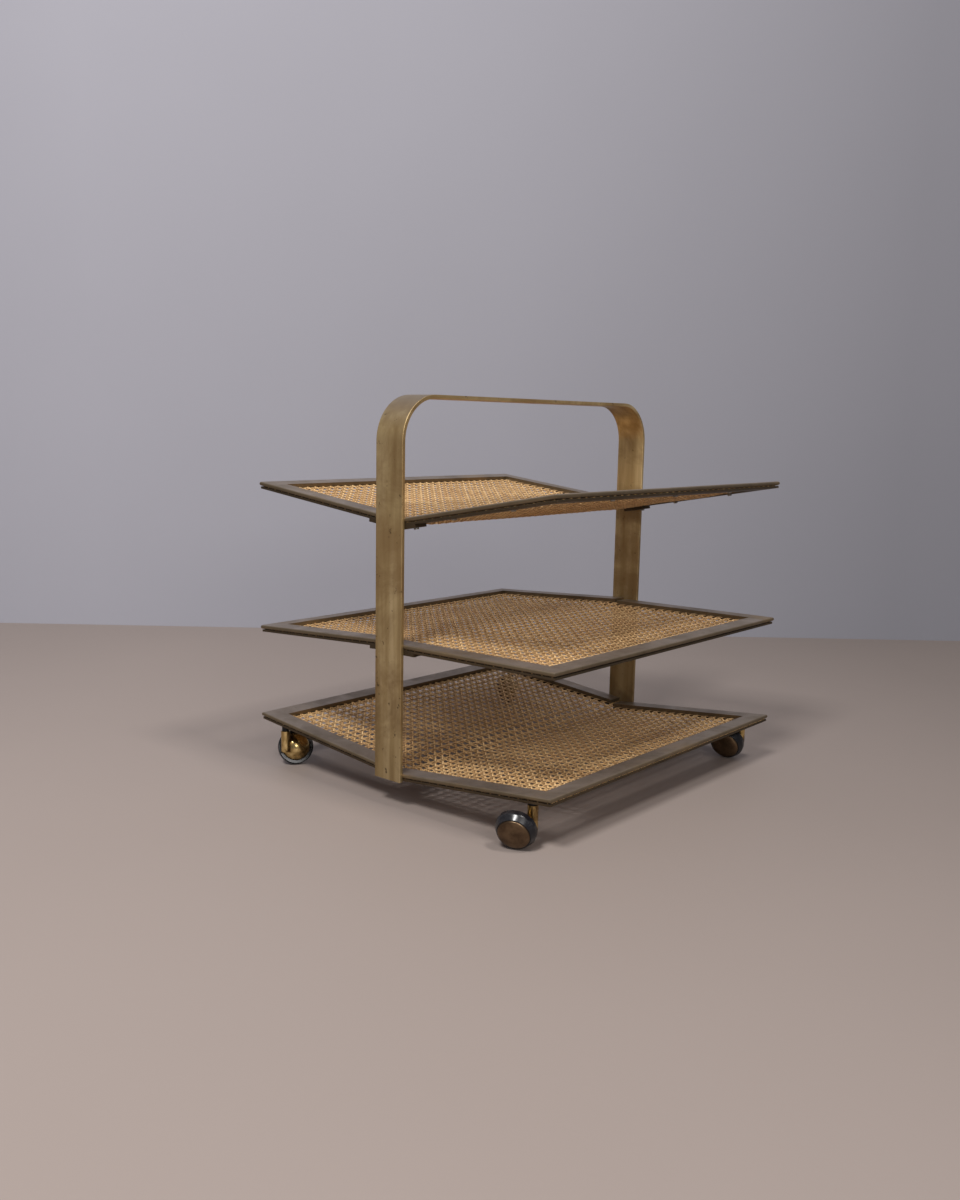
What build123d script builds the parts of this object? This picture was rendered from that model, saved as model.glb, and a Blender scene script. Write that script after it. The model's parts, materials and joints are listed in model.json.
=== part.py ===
"""Low three-tier serving trolley. A flat brass bar bent into an inverted U carries three square shelves
of woven cane in brass-edged frames, and four hooded ball casters stand under the bottom shelf's corners.

Millimetres, +Z up. The origin is on the floor, midway between the uprights. The bar's plane is YZ, the
front is -Y and the right is +X. Each shelf is two wings that meet at the uprights, each with its own slope.
"""

import os
from math import acos, cos, degrees, radians, sin, tan

from build123d import *

os.makedirs("parts", exist_ok=True)

# Bent bar: both uprights and the grip
BAR_WIDTH = 46
BAR_THICKNESS = 5
ARCH_WIDTH = 535
ARCH_TOP = 521
ARCH_FOOT = 35.5
ARCH_BEND_RADIUS = 58
BAR_EDGE_RADIUS = 0.8
UPRIGHT_FACE = ARCH_WIDTH / 2 - BAR_THICKNESS

# Wings: height of the top surface at the fold, and slope in degrees, up towards the tip
WINGS = {
    "top": {"left": (371.0, 6.92), "right": (367.2, 10.24)},
    "middle": {"left": (215.5, -3.16), "right": (212.9, 0.62)},
    "bottom": {"left": (49.9, 5.67), "right": (44.4, 5.60)},
}
WING_LENGTH = 259
WING_START = 1.5
SHELF_DEPTH = 528
HALF_DEPTH = SHELF_DEPTH / 2

# The sandwich at a wing's edge, from the top down: rail, cane, clamp frame
RAIL_WIDTH = 26
RAIL_THICKNESS = 5.5
NOSE_RADIUS = 2.6
CANE_THICKNESS = 1
CANE_INSET = 2
CLAMP_THICKNESS = 3
CLAMP_INSET = 1.5
CLAMP_TOP = RAIL_THICKNESS + CANE_THICKNESS
UNDERSIDE = CLAMP_TOP + CLAMP_THICKNESS
NOTCH_CLEARANCE = 0.1

# Screws
SCREW_RADIUS = 1.6
SCREW_CLEARANCE = 0.05
SCREW_HEAD_RADIUS = 3.2
SCREW_HEAD_HEIGHT = 2.2
SCREW_HEAD_ROUNDING = 1.6
SCREW_BITE = 3.5
SCREW_LINE = CLAMP_INSET + (RAIL_WIDTH - CLAMP_INSET) / 2
SIDE_SCREW_SPOTS = (93, 185)
END_SCREW_SPOTS = (-140, 0, 140)

# Lugs under the rails of the top and middle shelf, pinned to the uprights and screwed to the rails
BRACKET_START = 4
BRACKET_REACH = 39
BRACKET_DEPTH = 20
BRACKET_THICKNESS = 4
BRACKET_RAIL_SCREW = 31
BRACKET_PIN = 13
PIN_RADIUS = 1.2
PIN_IN_LUG = 8
PIN_IN_UPRIGHT = 3.5
BRACKET_SHELVES = ("top", "middle")

# Casters: place of the vertical stem, and the heading of each hub cap in degrees from +X
STEM_X = 223
STEM_Y = 250
CASTERS = {
    "front_right": -68,
    "front_left": 150,
    "back_right": -78,
    "back_left": -164,
}
AXLE_TILT = 20
STEM_BEHIND = 14
STEM_TRAIL = 16

# Wheel, measured along the axle (positive towards the hub cap) and out from it
CORE_RADIUS = 20
TREAD_RADIUS = 5
TREAD_CENTRE = 0
SHOULDER_ANGLE = 31
TYRE_BACK = -6
TYRE_FRONT = 8.5
TYRE_CHAMFER = 1
AXLE_RADIUS = 2.5
RUNNING_CLEARANCE = 0.05
AXLE_BACK = -17
AXLE_SHOULDER = 2.1
AXLE_HEAD_RADIUS = 4.2
AXLE_HEAD_THICKNESS = 1.5
CORE_BACK = -5.5
CORE_BOSS_RADIUS = 5.5
CORE_WEB = -2
CORE_RIM_INNER = 15
CORE_FRONT = 6.5
CORE_LIP = 8.2
CAP_RADIUS = 19.5
CAP_SIDE = 9
CAP_DOME = 4
CAP_WALL = 1.5

# Hood: dome behind the wheel, with an upright socket for the stem
HOOD_RIM = -6.6
HOOD_RADIUS = 20
HOOD_DEPTH = 14.5
HOOD_WALL = 2
HOOD_BOSS_RADIUS = 6
HOOD_BOSS_FRONT = -6.5
SOCKET_RADIUS = 6.5
SOCKET_BOTTOM = 22
SOCKET_TOP = 52
SOCKET_FLOOR = 27

# Stem: threaded end, collar, journal and retaining ring
THREAD_RADIUS = 3
THREAD_LENGTH = 6.8
THREAD_CLEARANCE = 0.05
COLLAR_RADIUS = 5
COLLAR_GAP = 0.3
JOURNAL_RADIUS = 4
JOURNAL_BOTTOM = 27.5
RING_RADIUS = 4.6
RING_BOTTOM = 38
RING_HEIGHT = 2
RING_PLAY = 0.2
SPOT_FACE_RADIUS = 6.5
SPOT_FACE_DEPTH = 0.75

WHEEL_HEIGHT = (
    CORE_RADIUS * cos(radians(AXLE_TILT)) + TREAD_CENTRE * sin(radians(AXLE_TILT)) + TREAD_RADIUS
)


def save(block, name):
    """Label a finished piece and write it as its own STEP file."""
    block.part.label = name
    export_step(block.part, f"parts/{name}.step")


def wing_plane(shelf, side):
    """Top surface of a wing: origin on the fold line, x out along the slope, z out of the surface."""
    height, slope = WINGS[shelf][side]
    out = 1 if side == "right" else -1
    run, rise = cos(radians(slope)), sin(radians(slope))
    return Plane(origin=(0, 0, height), x_dir=(out * run, 0, rise), z_dir=(-out * rise, 0, run))


def local_edge(side, edge):
    """Sign of the wing's own y for its front or back edge."""
    front = -1 if side == "right" else 1
    return front if edge == "front" else -front


def bar_outline(side, edge, inset):
    """Corners of one mitred bar of a wing's frame, set in from the wing's outer edge."""
    tip, edge_y = WING_LENGTH - inset, HALF_DEPTH - inset
    inner_x, inner_y = WING_LENGTH - RAIL_WIDTH, HALF_DEPTH - RAIL_WIDTH
    if edge == "end":
        return [(tip, -edge_y), (tip, edge_y), (inner_x, inner_y), (inner_x, -inner_y)]
    s = local_edge(side, edge)
    return [(WING_START, s * edge_y), (tip, s * edge_y), (inner_x, s * inner_y), (WING_START, s * inner_y)]


def clamp_screw_points(side, edge):
    """Clamp screws of one bar, in the wing's plane."""
    if edge == "end":
        return [(WING_LENGTH - SCREW_LINE, y) for y in END_SCREW_SPOTS]
    s = local_edge(side, edge)
    return [(x, s * (HALF_DEPTH - SCREW_LINE)) for x in SIDE_SCREW_SPOTS]


def bracket_screw_points(shelf, side, edge):
    """The lug's screw into a rail, in the wing's plane."""
    if edge == "end" or shelf not in BRACKET_SHELVES:
        return []
    s = local_edge(side, edge)
    return [(BRACKET_RAIL_SCREW, s * (UPRIGHT_FACE - BRACKET_DEPTH / 2))]


def underside_height(side, x):
    """Height of the bottom shelf's underside at a distance x from the fold."""
    height, slope = WINGS["bottom"][side]
    return height + x * tan(radians(slope)) - UNDERSIDE / cos(radians(slope))


def pin_plane(shelf, side, edge):
    """Where a lug's pin enters an upright's inner face, z into the upright."""
    wing = wing_plane(shelf, side)
    s = local_edge(side, edge)
    spot = wing.from_local_coords(Vector(BRACKET_PIN, s * UPRIGHT_FACE, -UNDERSIDE - BRACKET_THICKNESS / 2))
    return Plane(origin=spot, x_dir=wing.x_dir, z_dir=wing.y_dir * s)


# ---- Arch handle ----
with BuildPart() as arch_handle:
    with BuildSketch(Plane.YZ):
        with BuildLine():
            half = ARCH_WIDTH / 2
            outer = FilletPolyline(
                (-half, ARCH_FOOT),
                (-half, ARCH_TOP),
                (half, ARCH_TOP),
                (half, ARCH_FOOT),
                radius=ARCH_BEND_RADIUS,
            )
            inner = FilletPolyline(
                (-UPRIGHT_FACE, ARCH_FOOT),
                (-UPRIGHT_FACE, ARCH_TOP - BAR_THICKNESS),
                (UPRIGHT_FACE, ARCH_TOP - BAR_THICKNESS),
                (UPRIGHT_FACE, ARCH_FOOT),
                radius=ARCH_BEND_RADIUS - BAR_THICKNESS,
            )
            Line(outer @ 0, inner @ 0)
            Line(outer @ 1, inner @ 1)
        make_face()
    extrude(amount=BAR_WIDTH / 2, both=True)
    bar_sides = arch_handle.faces().filter_by(Axis.X)
    fillet(bar_sides.edges(), BAR_EDGE_RADIUS)
    for shelf in BRACKET_SHELVES:
        for side in ("left", "right"):
            for edge in ("front", "back"):
                with BuildSketch(pin_plane(shelf, side, edge)):
                    Circle(PIN_RADIUS + SCREW_CLEARANCE)
                extrude(amount=PIN_IN_UPRIGHT + SCREW_CLEARANCE, mode=Mode.SUBTRACT)
save(arch_handle, "arch_handle")


# ---- Rails ----
def make_rail(shelf, side, edge):
    """One mitred rail: flat top, rounded nose, blind screw holes, and a notch where it passes an upright."""
    wing = wing_plane(shelf, side)

    def on_outer_edge(e):
        spot = wing.to_local_coords(e.center())
        reach = WING_LENGTH - spot.X if edge == "end" else HALF_DEPTH - abs(spot.Y)
        return abs(reach) < 0.01 and e.length > RAIL_WIDTH

    with BuildPart() as rail:
        with BuildSketch(wing):
            Polygon(*bar_outline(side, edge, 0), align=None)
        extrude(amount=-RAIL_THICKNESS)
        fillet(rail.edges().filter_by(on_outer_edge), NOSE_RADIUS)
        with BuildSketch(wing.offset(-RAIL_THICKNESS)):
            with Locations(*clamp_screw_points(side, edge), *bracket_screw_points(shelf, side, edge)):
                Circle(SCREW_RADIUS + SCREW_CLEARANCE)
        extrude(amount=SCREW_BITE + SCREW_CLEARANCE, mode=Mode.SUBTRACT)
        if edge != "end":
            y_sign = -1 if edge == "front" else 1
            with Locations((0, y_sign * (UPRIGHT_FACE + BAR_THICKNESS), WINGS[shelf][side][0])):
                Box(BAR_WIDTH + 2 * NOTCH_CLEARANCE, 2 * BAR_THICKNESS, BAR_WIDTH, mode=Mode.SUBTRACT)
            if shelf == "bottom":
                x_sign = 1 if side == "right" else -1
                seat = underside_height(side, STEM_X) + SPOT_FACE_DEPTH
                with Locations((x_sign * STEM_X, y_sign * STEM_Y, seat)):
                    Cylinder(
                        THREAD_RADIUS + THREAD_CLEARANCE,
                        THREAD_LENGTH + THREAD_CLEARANCE,
                        align=(Align.CENTER, Align.CENTER, Align.MIN),
                        mode=Mode.SUBTRACT,
                    )
    save(rail, f"{shelf}_{side}_end_rail" if edge == "end" else f"{shelf}_{edge}_{side}_rail")


for shelf in WINGS:
    for side in ("left", "right"):
        for edge in ("front", "back", "end"):
            make_rail(shelf, side, edge)


# ---- Clamp frames ----
def make_clamp_frame(shelf, side):
    """The thin U-shaped frame under a wing that grips the cane against the three rails."""
    wing = wing_plane(shelf, side)
    with BuildPart() as clamp:
        with BuildSketch(wing.offset(-CLAMP_TOP)):
            for edge in ("front", "back", "end"):
                Polygon(*bar_outline(side, edge, CLAMP_INSET), align=None)
            for edge in ("front", "back", "end"):
                with Locations(*clamp_screw_points(side, edge), *bracket_screw_points(shelf, side, edge)):
                    Circle(SCREW_RADIUS + SCREW_CLEARANCE, mode=Mode.SUBTRACT)
        extrude(amount=-CLAMP_THICKNESS)
        if shelf == "bottom":
            x_sign = 1 if side == "right" else -1
            seat = underside_height(side, STEM_X) + SPOT_FACE_DEPTH
            with Locations((x_sign * STEM_X, -STEM_Y, seat), (x_sign * STEM_X, STEM_Y, seat)):
                Cylinder(THREAD_RADIUS + THREAD_CLEARANCE, 2 * UNDERSIDE, mode=Mode.SUBTRACT)
                Cylinder(
                    SPOT_FACE_RADIUS,
                    UNDERSIDE,
                    align=(Align.CENTER, Align.CENTER, Align.MAX),
                    mode=Mode.SUBTRACT,
                )
    save(clamp, f"{shelf}_{side}_clamp_frame")


for shelf in WINGS:
    for side in ("left", "right"):
        make_clamp_frame(shelf, side)


# ---- Cane panels ----
def make_cane_panel(shelf):
    """One cane sheet across both wings, folded along the line between the uprights."""
    top_line, bottom_line = [], []
    tip = WING_LENGTH - CANE_INSET
    for side, stations in (("left", (tip, WING_START)), ("right", (WING_START, tip))):
        wing = wing_plane(shelf, side)
        for x in stations:
            upper = wing.from_local_coords(Vector(x, 0, -RAIL_THICKNESS))
            lower = wing.from_local_coords(Vector(x, 0, -CLAMP_TOP))
            top_line.append((upper.X, upper.Z))
            bottom_line.append((lower.X, lower.Z))
    with BuildPart() as cane:
        with BuildSketch(Plane.XZ):
            Polygon(*top_line, *reversed(bottom_line), align=None)
        extrude(amount=HALF_DEPTH - CANE_INSET, both=True)
        for side in ("left", "right"):
            wing = wing_plane(shelf, side)
            for edge in ("front", "back", "end"):
                with BuildSketch(wing.offset(-CLAMP_TOP)):
                    with Locations(*clamp_screw_points(side, edge), *bracket_screw_points(shelf, side, edge)):
                        Circle(SCREW_RADIUS + SCREW_CLEARANCE)
                extrude(amount=CANE_THICKNESS, mode=Mode.SUBTRACT)
            if shelf == "bottom":
                x_sign = 1 if side == "right" else -1
                seat = underside_height(side, STEM_X)
                with Locations((x_sign * STEM_X, -STEM_Y, seat), (x_sign * STEM_X, STEM_Y, seat)):
                    Cylinder(THREAD_RADIUS + THREAD_CLEARANCE, 2 * UNDERSIDE, mode=Mode.SUBTRACT)
    save(cane, f"{shelf}_cane_panel")


for shelf in WINGS:
    make_cane_panel(shelf)


# ---- Clamp screws ----
def is_head_rim(e, shelf):
    """Whether a circular edge is the lower rim of a screw head under this shelf."""
    side = "right" if e.center().X > 0 else "left"
    depth = -wing_plane(shelf, side).to_local_coords(e.center()).Z
    return depth > UNDERSIDE + SCREW_HEAD_HEIGHT / 2


def make_clamp_screws(shelf):
    """Round-head screws driven up through clamp frame and cane into the rails."""
    with BuildPart() as screws:
        for side in ("left", "right"):
            wing = wing_plane(shelf, side)
            for edge in ("front", "back", "end"):
                points = clamp_screw_points(side, edge)
                with BuildSketch(wing.offset(-UNDERSIDE)):
                    with Locations(*points):
                        Circle(SCREW_RADIUS)
                extrude(amount=UNDERSIDE - RAIL_THICKNESS + SCREW_BITE)
                with BuildSketch(wing.offset(-UNDERSIDE)):
                    with Locations(*points):
                        Circle(SCREW_HEAD_RADIUS)
                extrude(amount=-SCREW_HEAD_HEIGHT)
        heads = screws.edges().filter_by(GeomType.CIRCLE)
        fillet(
            [e for e in heads if abs(e.radius - SCREW_HEAD_RADIUS) < 0.01 and is_head_rim(e, shelf)],
            SCREW_HEAD_ROUNDING,
        )
    save(screws, f"{shelf}_clamp_screws")


for shelf in WINGS:
    make_clamp_screws(shelf)


# ---- Brackets ----
def make_brackets(shelf):
    """Four flat lugs, one under each side rail's end, with a blind hole for the pin into the upright."""
    with BuildPart() as brackets:
        for side in ("left", "right"):
            wing = wing_plane(shelf, side)
            for edge in ("front", "back"):
                s = local_edge(side, edge)
                reach = BRACKET_REACH - BRACKET_START
                with BuildSketch(wing.offset(-UNDERSIDE)):
                    with Locations((BRACKET_START + reach / 2, s * (UPRIGHT_FACE - BRACKET_DEPTH / 2))):
                        Rectangle(reach, BRACKET_DEPTH)
                    with Locations(*bracket_screw_points(shelf, side, edge)):
                        Circle(SCREW_RADIUS + SCREW_CLEARANCE, mode=Mode.SUBTRACT)
                extrude(amount=-BRACKET_THICKNESS)
                with BuildSketch(pin_plane(shelf, side, edge)):
                    Circle(PIN_RADIUS + SCREW_CLEARANCE)
                extrude(amount=-PIN_IN_LUG - SCREW_CLEARANCE, mode=Mode.SUBTRACT)
    save(brackets, f"{shelf}_brackets")


def make_bracket_fasteners(shelf):
    """Each lug's screw, up into the rail, and its pin, into the upright."""
    with BuildPart() as fasteners:
        for side in ("left", "right"):
            wing = wing_plane(shelf, side)
            for edge in ("front", "back"):
                seat = UNDERSIDE + BRACKET_THICKNESS
                with BuildSketch(wing.offset(-seat)):
                    with Locations(*bracket_screw_points(shelf, side, edge)):
                        Circle(SCREW_RADIUS)
                extrude(amount=seat - RAIL_THICKNESS + SCREW_BITE)
                with BuildSketch(wing.offset(-seat)):
                    with Locations(*bracket_screw_points(shelf, side, edge)):
                        Circle(SCREW_HEAD_RADIUS)
                extrude(amount=-SCREW_HEAD_HEIGHT)
                with BuildSketch(pin_plane(shelf, side, edge).offset(-PIN_IN_LUG)):
                    Circle(PIN_RADIUS)
                extrude(amount=PIN_IN_LUG + PIN_IN_UPRIGHT)
    save(fasteners, f"{shelf}_bracket_fasteners")


for shelf in BRACKET_SHELVES:
    make_brackets(shelf)
    make_bracket_fasteners(shelf)


# ---- Casters ----
def stem_place(corner):
    """Stem axis of a caster, with the height of its seat under the clamp frame."""
    front_or_back, side = corner.split("_")
    x = STEM_X if side == "right" else -STEM_X
    y = -STEM_Y if front_or_back == "front" else STEM_Y
    return x, y, underside_height(side, STEM_X) + SPOT_FACE_DEPTH


def axle_plane(corner):
    """Section through a wheel, x along the axle towards the hub cap and y out from the axle."""
    x, y, _ = stem_place(corner)
    heading = radians(CASTERS[corner])
    tilt = radians(AXLE_TILT)
    ahead = Vector(cos(heading), sin(heading), 0)
    across = Vector(-sin(heading), cos(heading), 0)
    centre = Vector(x, y, WHEEL_HEIGHT) + ahead * STEM_BEHIND - across * STEM_TRAIL
    along_axle = ahead * cos(tilt) - Vector(0, 0, sin(tilt))
    return Plane(origin=centre, x_dir=along_axle, z_dir=across)


def disc_plane(section, along):
    """Plane across the axle at a distance along it."""
    return Plane(origin=section.origin + section.x_dir * along, x_dir=section.z_dir, z_dir=section.x_dir)


def make_stem(corner):
    """Blackened stem: threaded into the shelf's corner, with a collar, a journal and a retaining ring."""
    x, y, seat = stem_place(corner)
    collar_bottom = SOCKET_TOP + COLLAR_GAP
    pieces = (
        (JOURNAL_RADIUS, JOURNAL_BOTTOM, collar_bottom),
        (RING_RADIUS, RING_BOTTOM, RING_BOTTOM + RING_HEIGHT),
        (COLLAR_RADIUS, collar_bottom, seat),
        (THREAD_RADIUS, seat, seat + THREAD_LENGTH),
    )
    with BuildPart() as stem:
        for radius, bottom, top in pieces:
            with BuildSketch(Plane((x, y, bottom))):
                Circle(radius)
            extrude(amount=top - bottom)
    save(stem, f"{corner}_caster_stem")


def make_hood(corner):
    """Brass hood: a dome behind the wheel with a boss for the axle and an upright socket for the stem."""
    x, y, _ = stem_place(corner)
    section = axle_plane(corner)
    axle_line = Axis(section.origin, section.x_dir)
    pole = HOOD_RIM - HOOD_DEPTH
    dome_radius = (HOOD_RADIUS**2 + HOOD_DEPTH**2) / (2 * HOOD_DEPTH)
    centre = pole + dome_radius
    with BuildPart() as hood:
        with BuildSketch(Plane((x, y, SOCKET_BOTTOM))):
            Circle(SOCKET_RADIUS)
        extrude(amount=SOCKET_TOP - SOCKET_BOTTOM)
        with BuildSketch(section):
            with BuildLine():
                arcs = []
                for radius in (dome_radius, dome_radius - HOOD_WALL):
                    rim_angle = degrees(acos((HOOD_RIM - centre) / radius))
                    arcs.append(CenterArc((centre, 0), radius, rim_angle, 180 - rim_angle))
                Line(arcs[0] @ 0, arcs[1] @ 0)
                Line(arcs[0] @ 1, arcs[1] @ 1)
            make_face()
        revolve(axis=axle_line)
        with BuildSketch(disc_plane(section, pole + HOOD_WALL / 2)):
            Circle(HOOD_BOSS_RADIUS)
        extrude(amount=HOOD_BOSS_FRONT - pole - HOOD_WALL / 2)
        with BuildSketch(Plane((x, y, SOCKET_FLOOR))):
            Circle(JOURNAL_RADIUS + RUNNING_CLEARANCE)
        extrude(amount=SOCKET_TOP - SOCKET_FLOOR, mode=Mode.SUBTRACT)
        with BuildSketch(Plane((x, y, RING_BOTTOM - RING_PLAY))):
            Circle(RING_RADIUS + RUNNING_CLEARANCE)
        extrude(amount=RING_HEIGHT + 2 * RING_PLAY, mode=Mode.SUBTRACT)
        with BuildSketch(disc_plane(section, AXLE_BACK)):
            Circle(AXLE_RADIUS)
        extrude(amount=HOOD_BOSS_FRONT + HOOD_WALL - AXLE_BACK, mode=Mode.SUBTRACT)
    save(hood, f"{corner}_caster_hood")


def make_axle(corner):
    """Inclined axle pressed into the hood's boss, with a head that keeps the wheel on."""
    section = axle_plane(corner)
    with BuildPart() as axle:
        with BuildSketch(disc_plane(section, AXLE_BACK)):
            Circle(AXLE_RADIUS)
        extrude(amount=AXLE_SHOULDER - AXLE_BACK)
        with BuildSketch(disc_plane(section, AXLE_SHOULDER)):
            Circle(AXLE_HEAD_RADIUS)
        extrude(amount=AXLE_HEAD_THICKNESS)
    save(axle, f"{corner}_caster_axle")


def make_wheel_core(corner):
    """Moulded wheel core with a bearing bore and a recess for the axle's head."""
    section = axle_plane(corner)
    bore = AXLE_RADIUS + RUNNING_CLEARANCE
    recess = AXLE_SHOULDER - 0.1
    recess_radius = AXLE_HEAD_RADIUS + 0.8
    with BuildPart() as core:
        with BuildSketch(section):
            Polygon(
                (CORE_BACK, bore),
                (CORE_BACK, CORE_BOSS_RADIUS),
                (CORE_WEB, CORE_BOSS_RADIUS),
                (CORE_WEB, CORE_RIM_INNER),
                (CORE_BACK, CORE_RIM_INNER),
                (CORE_BACK, CORE_RADIUS),
                (CORE_LIP, CORE_RADIUS),
                (CORE_LIP, CAP_RADIUS),
                (CORE_FRONT, CAP_RADIUS),
                (CORE_FRONT, recess_radius),
                (recess, recess_radius),
                (recess, bore),
                align=None,
            )
        revolve(axis=Axis(section.origin, section.x_dir))
    save(core, f"{corner}_wheel_core")


def make_tyre(corner):
    """Tyre on the core: straight tread, rounded where it meets the floor, and a conical shoulder."""
    section = axle_plane(corner)
    tread = CORE_RADIUS + TREAD_RADIUS
    with BuildPart() as tyre:
        with BuildSketch(section):
            with BuildLine():
                rounding = CenterArc(
                    (TREAD_CENTRE, CORE_RADIUS), TREAD_RADIUS, 90 - SHOULDER_ANGLE, SHOULDER_ANGLE
                )
                shoulder = rounding @ 0
                shoulder_drop = (TYRE_FRONT - shoulder.X) * tan(radians(SHOULDER_ANGLE))
                Polyline(
                    shoulder,
                    (TYRE_FRONT, shoulder.Y - shoulder_drop),
                    (TYRE_FRONT, CORE_RADIUS),
                    (TYRE_BACK, CORE_RADIUS),
                    (TYRE_BACK, tread - TYRE_CHAMFER),
                    (TYRE_BACK + TYRE_CHAMFER, tread),
                    rounding @ 1,
                )
            make_face()
        revolve(axis=Axis(section.origin, section.x_dir))
    save(tyre, f"{corner}_tyre")


def make_hub_cap(corner):
    """Thin domed cap on the core's front face."""
    section = axle_plane(corner)
    inner_radius = CAP_RADIUS - CAP_WALL
    inner_side = CAP_SIDE - CAP_WALL / 2
    with BuildPart() as cap:
        with BuildSketch(section):
            with BuildLine():
                EllipticalCenterArc((CAP_SIDE, 0), CAP_DOME, CAP_RADIUS, start_angle=0, arc_size=90)
                EllipticalCenterArc(
                    (inner_side, 0), CAP_DOME - CAP_WALL / 2, inner_radius, start_angle=0, arc_size=90
                )
                Polyline(
                    (CAP_SIDE, CAP_RADIUS),
                    (CORE_FRONT, CAP_RADIUS),
                    (CORE_FRONT, inner_radius),
                    (inner_side, inner_radius),
                )
                Line((CAP_SIDE + CAP_DOME, 0), (inner_side + CAP_DOME - CAP_WALL / 2, 0))
            make_face()
        revolve(axis=Axis(section.origin, section.x_dir))
    save(cap, f"{corner}_hub_cap")


for corner in CASTERS:
    make_stem(corner)
    make_hood(corner)
    make_axle(corner)
    make_wheel_core(corner)
    make_tyre(corner)
    make_hub_cap(corner)
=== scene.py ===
"""Looks of a low three-tier cane and brass serving trolley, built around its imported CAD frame.

The metal pieces keep their CAD shape and get soft edges and procedural metals. Each shelf's solid cane
panel is replaced by a woven sheet: pairs of strands both ways and single diagonals, laced over and under.
All lengths are in metres, in the frame of the CAD model.
"""

import json
import math

import bpy
import numpy as np
from mathutils import Matrix, Vector


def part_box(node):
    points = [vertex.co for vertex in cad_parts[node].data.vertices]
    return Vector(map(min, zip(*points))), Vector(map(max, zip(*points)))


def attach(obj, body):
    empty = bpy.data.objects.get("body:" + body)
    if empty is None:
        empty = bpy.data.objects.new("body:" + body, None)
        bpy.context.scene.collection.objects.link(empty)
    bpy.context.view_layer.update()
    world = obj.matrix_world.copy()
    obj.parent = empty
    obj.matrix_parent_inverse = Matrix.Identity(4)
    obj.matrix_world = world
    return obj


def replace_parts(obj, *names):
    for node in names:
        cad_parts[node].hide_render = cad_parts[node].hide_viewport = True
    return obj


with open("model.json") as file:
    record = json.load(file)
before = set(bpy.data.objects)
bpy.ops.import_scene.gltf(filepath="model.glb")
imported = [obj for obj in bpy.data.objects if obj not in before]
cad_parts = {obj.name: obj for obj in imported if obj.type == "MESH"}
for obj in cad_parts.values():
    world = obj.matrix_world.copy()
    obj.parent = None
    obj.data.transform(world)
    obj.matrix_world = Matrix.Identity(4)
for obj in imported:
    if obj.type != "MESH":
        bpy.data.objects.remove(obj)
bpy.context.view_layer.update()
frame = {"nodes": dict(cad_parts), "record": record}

SHELVES = ("top", "middle", "bottom")

# Soft edges of the metal pieces
WELD_GAP = 1e-5
EDGE_WIDTH = 0.00025
EDGE_SEGMENTS = 2
EDGE_ANGLE = 35

# Brass bar: height where the bend starts and ends, and where its foot is darkest and as bright as the rest
BEND_HEIGHTS = (0.46, 0.5)
FOOT_HEIGHTS = (0.05, 0.33)
FOOT_SHADE = 0.72

# Cane webbing: the mesh and its strands
CANE_PITCH = 0.0142
PAIR_SPACING = 0.0035
STRAND_WIDTH = 0.0024
DIAGONAL_WIDTH = 0.0026
STRAND_THICKNESS = 0.0008
LACE_HEIGHT = 0.0006
DIAGONAL_HEIGHT = 0.001
CLAMPED_LACE = 0.1
STRAND_WANDER = 0.00018
WIDTH_SPREAD = (0.9, 1.08)
FIBRE_OFFSET = 50
FIRST_SEED = 11

# Cane webbing: the whole sheet, with its crease, sag and waves. The rails hold it flat near its edges.
# EDGE_STEP is a short distance for finding its corners and slopes.
CREASE_NARROW = 0.004
CREASE_WIDE = 0.03
SAG = 0.003
WAVE_HEIGHT = 0.0016
WAVES = 5
WAVE_NUMBERS = (18, 60)
WAVE_SIZES = (0.4, 1.0)
EDGE_FADE = 0.05
EDGE_STEP = 0.0005

# Camera: standpoint, aim in degrees, and lens in millimetres
CAMERA_PLACE = (0.9847, -1.2327, 0.4863)
CAMERA_YAW = 40.82
CAMERA_PITCH = 8.96
CAMERA_ROLL = 1.09
LENS = 33.52
SENSOR = 36.0

# Stage: floor and wall, with painted shade that darkens their tones from left to right of the view over
# FALL_SPAN
FLOOR_REACH = 6.0
WALL_DISTANCE = 2.6
WALL_HEIGHT = 3.5
FALL_SPAN = 2.4
FLOOR_COLOUR = (0.31, 0.257, 0.232)
FLOOR_PAINTED_SHADE = ((0.2, 1.0), (0.5, 0.86), (0.85, 0.66))
WALL_COLOUR = (0.375, 0.372, 0.42)
WALL_PAINTED_SHADE = ((0.1, 1.0), (0.5, 0.80), (0.88, 0.54))
ROOM_COLOUR = (0.80, 0.80, 0.86, 1)
ROOM_STRENGTH = 0.27


# ---- Node helpers ----


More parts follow.
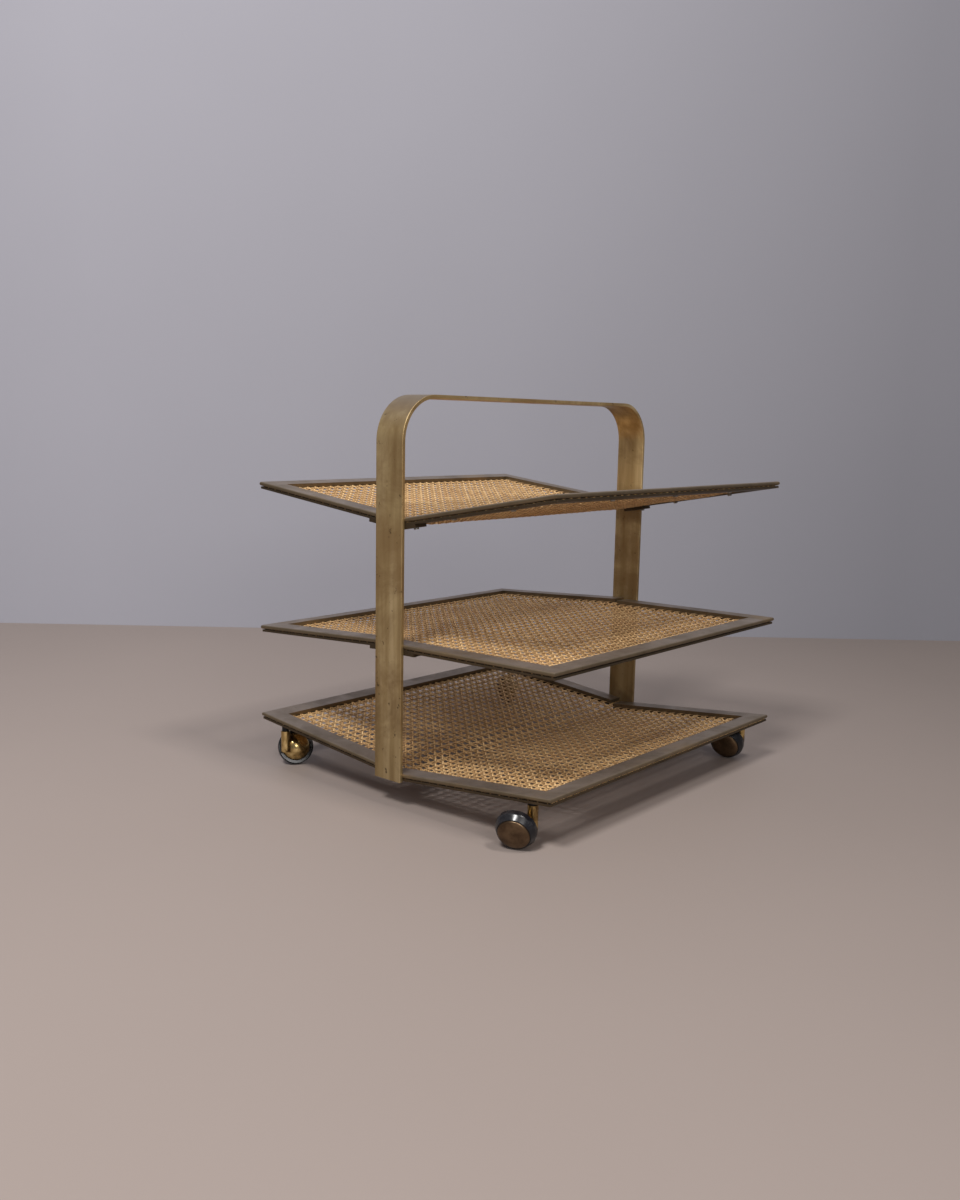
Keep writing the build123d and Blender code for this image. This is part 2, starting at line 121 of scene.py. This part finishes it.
class Shader:
    """A material with a Principled shader and short calls for the nodes that drive it."""

    def __init__(self, name):
        self.material = bpy.data.materials.new(name)
        self.material.use_nodes = True
        self.nodes = self.material.node_tree.nodes
        self.links = self.material.node_tree.links
        self.bsdf = self.nodes["Principled BSDF"]
        self.place = self.nodes.new("ShaderNodeTexCoord").outputs["Object"]

    def put(self, socket, value):
        """Give a socket a number, a colour or another node's output."""
        if isinstance(value, bpy.types.NodeSocket):
            self.links.new(value, socket)
        elif isinstance(value, tuple) and len(value) == 3 and socket.type == "RGBA":
            socket.default_value = (*value, 1.0)
        else:
            socket.default_value = value

    def set(self, **inputs):
        """Set inputs of the Principled shader, named with underscores."""
        for name, value in inputs.items():
            self.put(self.bsdf.inputs[name.replace("_", " ")], value)

    def scaled(self, scale, source=None):
        """Coordinates stretched by a factor on each axis."""
        node = self.nodes.new("ShaderNodeMapping")
        self.put(node.inputs["Vector"], source or self.place)
        node.inputs["Scale"].default_value = scale
        return node.outputs["Vector"]

    def noise(self, scale, detail=4.0, rough=0.55, vector=None, distort=0.0):
        node = self.nodes.new("ShaderNodeTexNoise")
        self.put(node.inputs["Vector"], vector or self.place)
        node.inputs["Scale"].default_value = scale
        node.inputs["Detail"].default_value = detail
        node.inputs["Roughness"].default_value = rough
        node.inputs["Distortion"].default_value = distort
        return node.outputs["Fac"]

    def ramp(self, value, *stops):
        """Colour or grey ramp through (position, colour or grey) stops."""
        node = self.nodes.new("ShaderNodeValToRGB")
        self.put(node.inputs["Fac"], value)
        elements = node.color_ramp.elements
        elements.remove(elements[1])
        for number, (position, colour) in enumerate(stops):
            element = elements[0] if number == 0 else elements.new(position)
            element.position = position
            rgb = colour if isinstance(colour, tuple) else (colour,) * 3
            element.color = (*rgb, 1.0)
        return node.outputs["Color"]

    def mix(self, factor, a, b, blend="MIX"):
        node = self.nodes.new("ShaderNodeMix")
        node.data_type = "RGBA"
        node.blend_type = blend
        self.put(node.inputs["Factor"], factor)
        self.put(node.inputs[6], a)
        self.put(node.inputs[7], b)
        return node.outputs[2]

    def math(self, operation, a, b=0.0):
        node = self.nodes.new("ShaderNodeMath")
        node.operation = operation
        self.put(node.inputs[0], a)
        self.put(node.inputs[1], b)
        return node.outputs[0]

    def axis(self, name, source=None):
        """One axis of the object coordinates or of another vector."""
        node = self.nodes.new("ShaderNodeSeparateXYZ")
        self.put(node.inputs[0], source or self.place)
        return node.outputs[name]

    def geometry(self, name):
        return self.nodes.new("ShaderNodeNewGeometry").outputs[name]

    def attribute(self, name):
        node = self.nodes.new("ShaderNodeAttribute")
        node.attribute_name = name
        return node

    def bump(self, height, strength, distance=0.0002):
        node = self.nodes.new("ShaderNodeBump")
        self.put(node.inputs["Height"], height)
        node.inputs["Strength"].default_value = strength
        node.inputs["Distance"].default_value = distance
        self.put(self.bsdf.inputs["Normal"], node.outputs["Normal"])


# ---- Materials ----


def aged_brass():
    """Flat brass bar: streaked, clouded and specked; painted reflection greys its upward faces; darker at
    its feet.
    """
    s = Shader("aged_brass")
    bend = s.ramp(s.axis("Z"), (BEND_HEIGHTS[0], 0.0), (BEND_HEIGHTS[1], 1.0))
    upright = s.noise(1.0, 5.0, 0.6, s.scaled((60.0, 60.0, 4.0)))
    level = s.noise(1.0, 5.0, 0.6, s.scaled((60.0, 4.0, 60.0)))
    streaks = s.mix(bend, upright, level)
    clouds = s.noise(14.0, 6.0, 0.62, distort=0.6)
    specks = s.noise(95.0, 3.0, 0.7)
    tone = s.ramp(
        streaks,
        (0.30, (0.34, 0.23, 0.10)),
        (0.50, (0.50, 0.365, 0.175)),
        (0.68, (0.66, 0.51, 0.28)),
    )
    tone = s.mix(s.ramp(clouds, (0.40, 0.65), (0.60, 0.0)), tone, (0.25, 0.15, 0.06))
    tone = s.mix(s.ramp(specks, (0.29, 0.8), (0.36, 0.0)), tone, (0.09, 0.055, 0.025))
    # Painted reflection: faces turned up are mixed towards a grey, standing for the room mirrored in them.
    facing_up_for_reflection = s.axis("Z", s.geometry("Normal"))
    tone = s.mix(s.ramp(facing_up_for_reflection, (0.25, 0.0), (0.9, 0.8)), tone, (0.21, 0.17, 0.125))
    foot = s.ramp(s.axis("Z"), (FOOT_HEIGHTS[0], FOOT_SHADE), (FOOT_HEIGHTS[1], 1.0))
    tone = s.mix(1.0, tone, foot, "MULTIPLY")
    fine = s.mix(
        bend,
        s.noise(1.0, 3.0, 0.7, s.scaled((900.0, 900.0, 30.0))),
        s.noise(1.0, 3.0, 0.7, s.scaled((900.0, 30.0, 900.0))),
    )
    s.set(Base_Color=tone, Metallic=0.75, Roughness=s.ramp(clouds, (0.3, 0.52), (0.7, 0.38)))
    s.bump(fine, 0.25, 0.0001)
    return s.material


def bronzed_brass(name, level, side, rough):
    """Dull bronzed rail or strip: greyer where it faces up by painted reflection, warmer on its sides,
    clouded and rubbed.
    """
    s = Shader(name)
    clouds = s.noise(22.0, 6.0, 0.6, distort=0.4)
    rubbed = s.noise(9.0, 4.0, 0.55)
    grime = s.noise(140.0, 3.0, 0.7)
    facing_up_for_reflection = s.axis("Z", s.geometry("Normal"))
    # Painted reflection: upward faces take the level tone, a grey stand-in for the room they mirror; sides
    # keep the metal's tone.
    tone = s.mix(s.ramp(facing_up_for_reflection, (0.45, 0.0), (0.95, 1.0)), side, level)
    tone = s.mix(s.ramp(clouds, (0.32, 0.55), (0.62, 0.0)), tone, tuple(c * 0.45 for c in side))
    gilt = tuple(min(1.0, c * f) for c, f in zip(side, (1.6, 1.45, 1.2)))
    tone = s.mix(s.ramp(rubbed, (0.56, 0.0), (0.70, 0.55)), tone, gilt)
    tone = s.mix(s.ramp(grime, (0.28, 0.5), (0.36, 0.0)), tone, tuple(c * 0.2 for c in side))
    roughness = s.ramp(clouds, (0.3, rough + 0.1), (0.7, rough - 0.06))
    s.set(Base_Color=tone, Metallic=0.8, Roughness=roughness)
    s.bump(s.noise(600.0, 3.0, 0.7), 0.2, 0.0001)
    return s.material


def polished_brass():
    """Caster hood: bright lacquered brass with brown patches where the lacquer has worn."""
    s = Shader("polished_brass")
    patches = s.noise(55.0, 5.0, 0.6, distort=0.8)
    tone = s.ramp(
        patches,
        (0.36, (0.12, 0.07, 0.03)),
        (0.50, (0.46, 0.32, 0.125)),
        (0.66, (0.80, 0.60, 0.28)),
    )
    s.set(Base_Color=tone, Metallic=1.0, Roughness=s.ramp(patches, (0.35, 0.38), (0.6, 0.14)))
    s.bump(s.noise(260.0, 3.0, 0.6), 0.12, 0.0002)
    return s.material


def dark_bronze():
    """Hub cap: dark bronze, faintly spun, with a smoother sheen."""
    s = Shader("dark_bronze")
    clouds = s.noise(60.0, 5.0, 0.6)
    tone = s.ramp(clouds, (0.35, (0.075, 0.045, 0.024)), (0.68, (0.17, 0.11, 0.062)))
    s.set(Base_Color=tone, Metallic=0.85, Roughness=s.ramp(clouds, (0.35, 0.42), (0.7, 0.28)))
    s.bump(s.noise(420.0, 2.0, 0.6), 0.12, 0.0001)
    return s.material


def steel(name, tone, rough):
    """Small steel part with grey variation and light corrosion."""
    s = Shader(name)
    spots = s.noise(240.0, 4.0, 0.6)
    colour = s.ramp(spots, (0.35, tuple(c * 0.55 for c in tone)), (0.62, tone))
    s.set(Base_Color=colour, Metallic=1.0, Roughness=s.ramp(spots, (0.3, rough + 0.15), (0.7, rough)))
    s.bump(spots, 0.2, 0.0001)
    return s.material


def rubber():
    """Smooth black tyre, dusted in patches that dull its sheen."""
    s = Shader("tyre_rubber")
    dust = s.noise(70.0, 5.0, 0.65)
    tone = s.ramp(dust, (0.45, (0.006, 0.006, 0.008)), (0.75, (0.022, 0.021, 0.023)))
    roughness = s.ramp(dust, (0.4, 0.2), (0.75, 0.34))
    s.set(Base_Color=tone, Specular_IOR_Level=0.4, Roughness=roughness)
    s.bump(s.noise(900.0, 2.0, 0.6), 0.08, 0.0001)
    return s.material


def moulded_plastic():
    """Black moulded wheel core."""
    s = Shader("core_plastic")
    grain = s.noise(1200.0, 2.0, 0.5)
    s.set(Base_Color=s.ramp(grain, (0.3, 0.012), (0.7, 0.03)), Roughness=0.5)
    s.bump(grain, 0.3, 0.0001)
    return s.material


def cane():
    """Peeled cane: tan skin with long fibres and painted shade at strand edges, each strand in its own
    tone.
    """
    s = Shader("woven_cane")
    strand = s.attribute("strand_tone").outputs["Fac"]
    along = s.attribute("strand_run").outputs["Vector"]
    fibres = s.noise(1.0, 4.0, 0.6, s.scaled((90.0, 3500.0, 1.0), along))
    stains = s.noise(16.0, 5.0, 0.6, distort=0.5)
    tone = s.ramp(
        strand,
        (0.0, (0.50, 0.305, 0.13)),
        (0.5, (0.68, 0.445, 0.205)),
        (1.0, (0.84, 0.59, 0.30)),
    )
    tone = s.mix(s.ramp(fibres, (0.35, 0.5), (0.6, 0.0)), tone, (0.36, 0.19, 0.075))
    tone = s.mix(s.ramp(stains, (0.3, 0.4), (0.5, 0.0)), tone, (0.45, 0.25, 0.11))
    # Painted shade: each strand darkens towards its edges, standing for the shadowed gaps between strands.
    shaded_edge_distance = s.math("MULTIPLY", s.math("ABSOLUTE", s.axis("Y", along)), 1 / STRAND_WIDTH)
    tone = s.mix(s.ramp(shaded_edge_distance, (0.34, 0.0), (0.5, 0.85)), tone, (0.10, 0.045, 0.02))
    roughness = s.ramp(fibres, (0.35, 0.65), (0.65, 0.45))
    s.set(Base_Color=tone, Specular_IOR_Level=0.3, Roughness=roughness)
    s.bump(fibres, 0.35, 0.0002)
    return s.material


def build_materials():
    """One material for each slot of the record."""
    # The rail's level tone is a painted grey reflection on its top faces.
    rail_reflected_top, rail_side = (0.33, 0.27, 0.215), (0.20, 0.15, 0.09)
    # Painted shade: the strip tones are dark brown to stand for the shadow under the rail noses.
    strip_shaded_top, strip_shaded_side = (0.12, 0.09, 0.06), (0.085, 0.06, 0.035)
    return {
        "aged_brass_bar": aged_brass(),
        "bronzed_rail": bronzed_brass("bronzed_rail", rail_reflected_top, rail_side, 0.42),
        "dull_brass_strip": bronzed_brass("dull_brass_strip", strip_shaded_top, strip_shaded_side, 0.5),
        "steel_fastener": steel("steel_fastener", (0.36, 0.34, 0.31), 0.35),
        "black_steel": steel("black_steel", (0.045, 0.045, 0.048), 0.4),
        "polished_brass": polished_brass(),
        "bronze_cap": dark_bronze(),
        "tyre": rubber(),
        "core_plastic": moulded_plastic(),
        "woven_cane": cane(),
    }


def finish_cad_nodes(materials):
    """Give every CAD node its material, and soften its edges so that they catch light."""
    slots = {row["node"]: row["material_slot"] for row in frame["record"]["subparts"]}
    for name, node in frame["nodes"].items():
        node.data.materials.clear()
        node.data.materials.append(materials[slots[name]])
        if name.endswith("cane_panel"):
            continue
        weld = node.modifiers.new("weld", "WELD")
        weld.merge_threshold = WELD_GAP
        bevel = node.modifiers.new("soft_edges", "BEVEL")
        bevel.width = EDGE_WIDTH
        bevel.segments = EDGE_SEGMENTS
        bevel.limit_method = "ANGLE"
        bevel.angle_limit = math.radians(EDGE_ANGLE)
        bevel.harden_normals = False
        smooth = node.modifiers.new("smooth", "WEIGHTED_NORMAL")
        smooth.keep_sharp = False
        node.data.shade_smooth()


# ---- Cane webbing ----


class Sheet:
    """Mid-surface of one shelf's cane: two sloping wings, a soft crease between them, and a slight sag."""

    def __init__(self, shelf, rng):
        points = np.array([v.co for v in frame["nodes"][f"{shelf}_cane_panel"].data.vertices])
        self.wings = {sign: self.wing_line(points, sign) for sign in (-1, 1)}
        self.open_y = -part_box(f"{shelf}_front_right_rail")[1].y
        self.half_y = points[:, 1].max()
        self.open_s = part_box("middle_right_end_rail")[0].x
        self.half_s = self.wings[1]["reach"]
        self.waves = [
            (*rng.uniform(*WAVE_NUMBERS, 2), rng.uniform(0, 2 * math.pi), rng.uniform(*WAVE_SIZES))
            for _ in range(WAVES)
        ]

    @staticmethod
    def wing_line(points, sign):
        """Height at the fold, slope, and reach of a wing's sheet, from the CAD panel's corners."""
        x = points[:, 0] * sign
        near = points[(x > 0) & (x < x[x > 0].min() + EDGE_STEP)]
        far = points[x > x.max() - EDGE_STEP]
        near_x, far_x = abs(near[:, 0]).mean(), abs(far[:, 0]).mean()
        near_z = (near[:, 2].max() + near[:, 2].min()) / 2
        far_z = (far[:, 2].max() + far[:, 2].min()) / 2
        slope = (far_z - near_z) / (far_x - near_x)
        return {"fold": near_z - slope * near_x, "slope": slope, "reach": far_x * math.hypot(1, slope)}

    def freedom(self, s, y):
        """How free the sheet is to move: 0 where the rails grip it, 1 well away from them."""
        across = np.clip((self.open_y - abs(y)) / EDGE_FADE, 0, 1)
        along = np.clip((self.open_s - abs(s)) / EDGE_FADE, 0, 1)
        return np.sin(across * math.pi / 2) * np.sin(along * math.pi / 2)

    def place(self, s, y):
        """Point of the sheet at s along the wings (negative on the left) and y across them."""
        left, right = self.wings[-1], self.wings[1]
        x = s * np.where(s < 0, 1 / math.hypot(1, left["slope"]), 1 / math.hypot(1, right["slope"]))
        free = self.freedom(s, y)
        crease = CREASE_NARROW + (CREASE_WIDE - CREASE_NARROW) * free
        blend = np.clip((x + crease) / (2 * crease), 0, 1)
        blend = blend * blend * (3 - 2 * blend)
        z = (left["fold"] - left["slope"] * x) * (1 - blend) + (right["fold"] + right["slope"] * x) * blend
        ripple = sum(size * np.sin(fx * x + fy * y + phase) for fx, fy, phase, size in self.waves) / WAVES
        return np.stack([x, y, z - free * (SAG + WAVE_HEIGHT * ripple)], axis=-1)

    def normal(self, s, y):
        """Unit normal of the sheet, upwards."""
        step = EDGE_STEP * 4
        along = self.place(s + step, y) - self.place(s - step, y)
        across = self.place(s, y + step) - self.place(s, y - step)
        n = np.cross(along, across)
        return n / np.linalg.norm(n, axis=-1, keepdims=True)


class Strands:
    """Collects flat strands with rounded edges into one mesh, each with a tone and running coordinates."""

    PROFILE = ((-0.5, 0.0), (-0.32, 0.5), (0.32, 0.5), (0.5, 0.0), (0.32, -0.5), (-0.32, -0.5))

    def __init__(self, sheet, rng):
        self.sheet, self.rng = sheet, rng
        self.points, self.faces, self.tones, self.running = [], [], [], []
        self.count = 0

    def add(self, s, y, lift, width):
        """One strand through the stations (s, y), raised off the sheet by lift at each."""
        sheet, rng = self.sheet, self.rng
        gripped = (abs(s) > sheet.open_s) | (abs(y) > sheet.open_y)
        lift = lift * np.where(gripped, CLAMPED_LACE, 1)
        normal = sheet.normal(s, y)
        path = sheet.place(s, y) + normal * lift[:, None]
        along = np.gradient(path, axis=0)
        along /= np.linalg.norm(along, axis=1, keepdims=True)
        across = np.cross(normal, along)
        across /= np.linalg.norm(across, axis=1, keepdims=True)
        up = np.cross(along, across)
        width = width * rng.uniform(*WIDTH_SPREAD)
        rings = [path + across * (u * width) + up * (v * STRAND_THICKNESS) for u, v in self.PROFILE]
        n, k = len(s), len(self.PROFILE)
        self.points.append(np.stack(rings, axis=1).reshape(-1, 3))
        distance = np.concatenate([[0], np.cumsum(np.linalg.norm(np.diff(path, axis=0), axis=1))])
        run = np.repeat(distance + rng.uniform(0, FIBRE_OFFSET), k)
        side = np.tile([u * width for u, _ in self.PROFILE], n)
        self.running.append(np.stack([run, side, np.zeros_like(run)], axis=1))
        self.tones.append(np.full(n * k, rng.uniform(0, 1)))
        ring = np.arange(k)
        first = (np.arange(n - 1) * k)[:, None]
        turned = (ring + 1) % k
        quads = np.stack([first + ring, first + k + ring, first + k + turned, first + turned], axis=-1)
        self.faces.extend((quads.reshape(-1, 4) + self.count).tolist())
        self.faces.append([self.count + i for i in range(k)])
        self.faces.append([self.count + (n - 1) * k + i for i in reversed(range(k))])
        self.count += n * k

    def build(self, name, material):
        """One piece of the collected strands, fixed to the trolley."""
        mesh = bpy.data.meshes.new(name)
        mesh.from_pydata(np.concatenate(self.points).tolist(), [], self.faces)
        tone = mesh.attributes.new("strand_tone", "FLOAT", "POINT")
        tone.data.foreach_set("value", np.concatenate(self.tones).astype(np.float32))
        running = mesh.attributes.new("strand_run", "FLOAT_VECTOR", "POINT")
        running.data.foreach_set("vector", np.concatenate(self.running).astype(np.float32).ravel())
        mesh.materials.append(material)
        mesh.shade_smooth()
        obj = bpy.data.objects.new(name, mesh)
        bpy.context.scene.collection.objects.link(obj)
        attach(obj, "trolley")
        return obj


def lattice(limit):
    """Centre lines of strand pairs either side of the middle, out to limit."""
    count = int((limit - PAIR_SPACING) / CANE_PITCH)
    return np.arange(-count, count + 1) * CANE_PITCH


def stations(limit, lines):
    """Stations along a strand: at each crossing with a pair, and midway between pairs."""
    marks = [-limit, limit]
    for line in lines:
        marks += [line - PAIR_SPACING / 2, line + PAIR_SPACING / 2, line + CANE_PITCH / 2]
    marks = np.unique(np.round(marks, 6))
    return marks[(marks >= -limit) & (marks <= limit)]


def laced_lift(marks, lines, own, first):
    """Over and under lift at crossings with pairs, and none midway, where the diagonals cross."""
    lift = np.zeros_like(marks)
    for line in lines:
        for other, offset in enumerate((-PAIR_SPACING / 2, PAIR_SPACING / 2)):
            over = first if (own + other) % 2 == 0 else -first
            lift[abs(marks - line - offset) < EDGE_STEP / 10] = LACE_HEIGHT * over
    return lift


def add_pairs(strands, run_limit, side_limit, lengthwise):
    """Pairs of strands one way, laced over and under the pairs that run the other way."""
    crossed = lattice(run_limit)
    marks = stations(run_limit, crossed)
    for line in lattice(side_limit):
        for own, offset in enumerate((-PAIR_SPACING / 2, PAIR_SPACING / 2)):
            lift = laced_lift(marks, crossed, own, 1 if lengthwise else -1)
            side = line + offset + strands.rng.normal(0, STRAND_WANDER, len(marks))
            s, y = (marks, side) if lengthwise else (side, marks)
            strands.add(s, y, lift, STRAND_WIDTH)


def add_diagonals(strands, half_s, half_y):
    """Single slanting strands both ways, which pass over one way's pairs and under the other's.

    Their stations lie at odd eighths of the pitch. At the first and seventh a strand crosses the pair that
    runs across the wings, and at the third and fifth the pair that runs along them.
    """
    count = int((half_s + half_y) / CANE_PITCH) + 1
    eighths = np.arange(-8 * count - 1, 8 * count, 2)
    for lean in (1, -1):
        for k in range(-count, count + 1):
            s = eighths * CANE_PITCH / 8
            y = lean * (s - (k + 0.5) * CANE_PITCH)
            inside = (abs(s) <= half_s) & (abs(y) <= half_y)
            if inside.sum() < 4:
                continue
            over_columns = np.isin(eighths[inside] % 8, (7, 1))
            lift = np.where(over_columns, DIAGONAL_HEIGHT, -DIAGONAL_HEIGHT) * lean
            wander = strands.rng.normal(0, STRAND_WANDER, inside.sum())
            strands.add(s[inside], y[inside] + wander, lift, DIAGONAL_WIDTH)


def weave_shelf(shelf, material, seed):
    """The woven sheet of one shelf, in place of its plain CAD panel."""
    rng = np.random.default_rng(seed)
    sheet = Sheet(shelf, rng)
    warp, weft, diagonals = (Strands(sheet, rng) for _ in range(3))
    add_pairs(warp, sheet.half_y, sheet.half_s, False)
    add_pairs(weft, sheet.half_s, sheet.half_y, True)
    add_diagonals(diagonals, sheet.half_s, sheet.half_y)
    for name, strands in (("warp", warp), ("weft", weft), ("diagonals", diagonals)):
        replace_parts(strands.build(f"{shelf}_cane_{name}", material), f"{shelf}_cane_panel")


# ---- Stage ----


def stage_plane(name, corners, material):
    """Four-cornered floor or wall, which isn't part of the object."""
    mesh = bpy.data.meshes.new(name)
    mesh.from_pydata(corners, [], [(0, 1, 2, 3)])
    mesh.materials.append(material)
    obj = bpy.data.objects.new(name, mesh)
    bpy.context.scene.collection.objects.link(obj)


def matt(name, tone, rough, level, painted_shade):
    """Plain matt surface, faintly cloudy, with painted shade darker to the right of the view, seen from
    its front only.
    """
    s = Shader(name)
    along_x, along_y = (s.math("MULTIPLY", s.axis(axis), part) for axis, part in zip("XY", level))
    across = s.math("ADD", along_x, along_y)
    share = s.math("MULTIPLY", s.math("ADD", across, FALL_SPAN / 2), 1 / FALL_SPAN)
    cloud = s.ramp(s.noise(1.2, 3.0, 0.5), (0.3, tuple(c * 0.96 for c in tone)), (0.7, tone))
    # Painted shade: the tone is multiplied by a ramp that darkens it to the right of the view, standing
    # for uneven room light.
    s.set(Base_Color=s.mix(1.0, cloud, s.ramp(share, *painted_shade), "MULTIPLY"), Roughness=rough)
    clear = s.nodes.new("ShaderNodeBsdfTransparent")
    choice = s.nodes.new("ShaderNodeMixShader")
    s.links.new(s.geometry("Backfacing"), choice.inputs[0])
    s.links.new(s.bsdf.outputs[0], choice.inputs[1])
    s.links.new(clear.outputs[0], choice.inputs[2])
    s.links.new(choice.outputs[0], s.nodes["Material Output"].inputs["Surface"])
    return s.material


def area_light(name, place, aim, size, power, colour):
    """Square soft light that faces its aim."""
    data = bpy.data.lights.new(name, "AREA")
    data.shape = "SQUARE"
    data.size = size
    data.energy = power
    data.color = colour
    obj = bpy.data.objects.new(name, data)
    obj.location = place
    obj.rotation_euler = (Vector(aim) - Vector(place)).to_track_quat("-Z", "Y").to_euler()
    bpy.context.scene.collection.objects.link(obj)


def camera():
    """The main camera. Returns its direction, and the level direction to its right."""
    yaw, pitch, roll = (math.radians(a) for a in (CAMERA_YAW, CAMERA_PITCH, CAMERA_ROLL))
    ahead = Vector((-math.sin(yaw) * math.cos(pitch), math.cos(yaw) * math.cos(pitch), -math.sin(pitch)))
    level = Vector((math.cos(yaw), math.sin(yaw), 0))
    upright = level.cross(ahead)
    right = level * math.cos(roll) + upright * math.sin(roll)
    up = upright * math.cos(roll) - level * math.sin(roll)
    data = bpy.data.cameras.new("camera")
    data.lens, data.sensor_width = LENS, SENSOR
    obj = bpy.data.objects.new("camera", data)
    obj.matrix_world = Matrix.Translation(CAMERA_PLACE) @ Matrix((right, up, -ahead)).transposed().to_4x4()
    bpy.context.scene.collection.objects.link(obj)
    bpy.context.scene.camera = obj
    return ahead, level


def floor_and_wall(ahead, level):
    """Pale floor, and a pale wall square to the view."""
    near, far = -FLOOR_REACH, FLOOR_REACH
    floor_matt = matt("floor_matt", FLOOR_COLOUR, 0.6, level, FLOOR_PAINTED_SHADE)
    stage_plane("floor", [(near, near, 0), (far, near, 0), (far, far, 0), (near, far, 0)], floor_matt)
    forward = Vector((ahead.x, ahead.y, 0)).normalized()
    foot = Vector((CAMERA_PLACE[0], CAMERA_PLACE[1], 0)) + forward * WALL_DISTANCE
    left, right = foot - level * FLOOR_REACH, foot + level * FLOOR_REACH
    tall = Vector((0, 0, WALL_HEIGHT))
    wall_matt = matt("wall_matt", WALL_COLOUR, 0.9, level, WALL_PAINTED_SHADE)
    stage_plane("wall", [left, right, right + tall, left + tall], wall_matt)


def lighting():
    """One soft light from the right, one from the front, a low one between them, and a dim room."""
    warm, neutral = (1.0, 0.97, 0.94), (1.0, 0.985, 0.97)
    area_light("right_key", (1.97, -0.1, 3.9), (0, 0, 0.2), 0.7, 74, warm)
    area_light("front_key", (0.63, -2.31, 3.23), (0, 0, 0.25), 0.75, 112, neutral)
    area_light("low_fill", (2.2, -1.4, 1.35), (0, 0, 0.15), 1.0, 24, warm)
    world = bpy.data.worlds.new("room")
    world.use_nodes = True
    background = world.node_tree.nodes["Background"]
    background.inputs["Color"].default_value = ROOM_COLOUR
    background.inputs["Strength"].default_value = ROOM_STRENGTH
    bpy.context.scene.world = world
    bpy.context.scene.view_settings.view_transform = "Standard"


materials = build_materials()
finish_cad_nodes(materials)
for number, shelf in enumerate(SHELVES):
    weave_shelf(shelf, materials["woven_cane"], FIRST_SEED + number)
floor_and_wall(*camera())
lighting()
